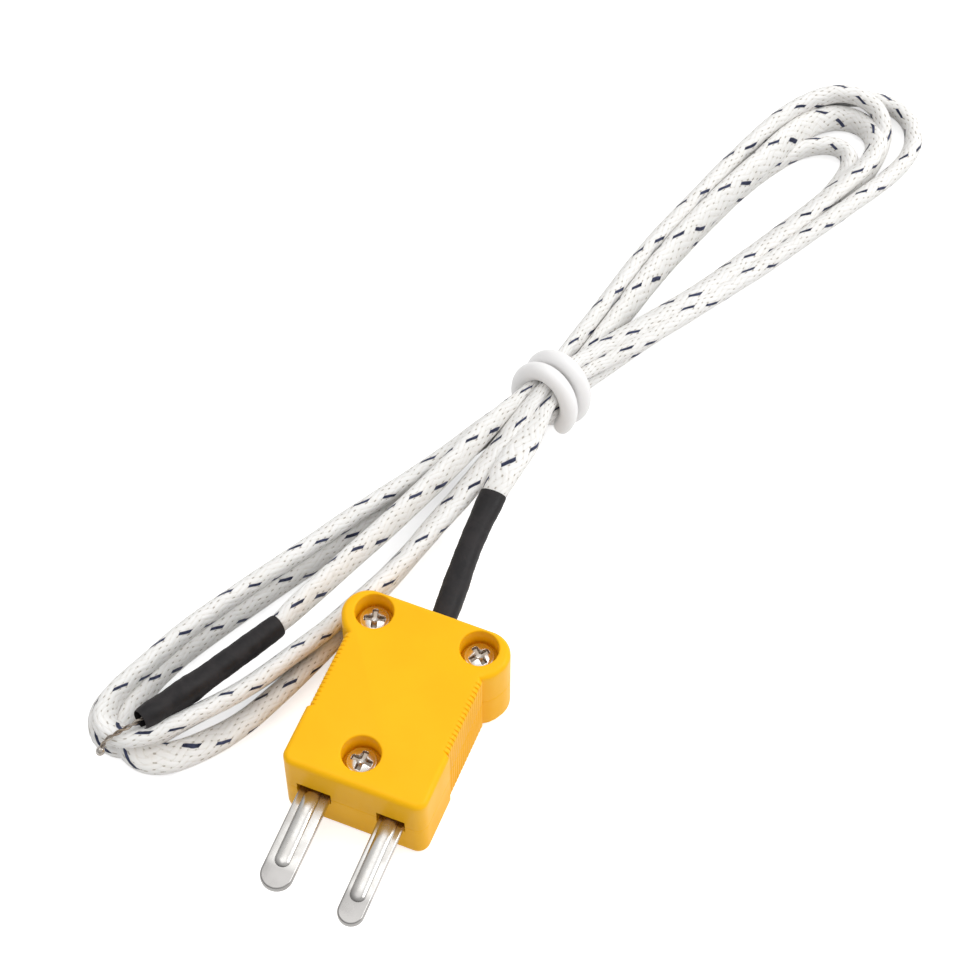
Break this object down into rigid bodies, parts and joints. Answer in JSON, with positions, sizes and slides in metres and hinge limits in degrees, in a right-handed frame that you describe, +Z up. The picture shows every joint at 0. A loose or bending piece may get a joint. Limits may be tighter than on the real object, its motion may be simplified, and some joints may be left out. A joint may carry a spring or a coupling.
{
  "type": "thermocouple probe",
  "caption": "Temperature probe: flat two-pin plug with a split screwed case, a braided lead coiled and tied in a hank, and a sleeved tip with a small welded bead.",
  "frame": {"origin": "on the surface it rests on, under the middle of the plug with its pins", "axes": "+X across the pins, +Y from the pins to the cable end of the plug, +Z up"},
  "size_m": [0.0537, 0.1179, 0.0094],
  "materials": {
    "case_yellow": "satin, moulded",
    "bright_nickel": "bright plated",
    "thermocouple_alloy": "drawn wire",
    "leg_yellow": "fine braid",
    "leg_red": "fine braid",
    "sleeve_black": "shrunk sleeve, matt",
    "glass_braid": "glass-fibre braid with a blue tracer",
    "tie_grey": "soft gloss"
  },
  "bodies": {
    "root": {"upper_shell": "case_yellow", "lower_shell": "case_yellow", "pin_wide": "bright_nickel", "pin_narrow": "bright_nickel", "terminal_screw_wide": "bright_nickel", "terminal_screw_narrow": "bright_nickel", "terminal_washer_wide": "bright_nickel", "terminal_washer_narrow": "bright_nickel", "case_screw_front": "bright_nickel", "case_screw_left": "bright_nickel", "case_screw_right": "bright_nickel", "insulated_leg_wide": "leg_yellow", "insulated_leg_narrow": "leg_red", "bare_end_wide": "thermocouple_alloy", "bare_end_narrow": "thermocouple_alloy", "plug_sleeve": "sleeve_black", "plug_lead": "glass_braid", "cable_hank": "glass_braid", "tip_lead": "glass_braid", "tie": "tie_grey", "tip_sleeve": "sleeve_black", "tip_wire_first": "bright_nickel", "tip_wire_second": "thermocouple_alloy", "weld_bead": "thermocouple_alloy"}
  },
  "joints": []
}
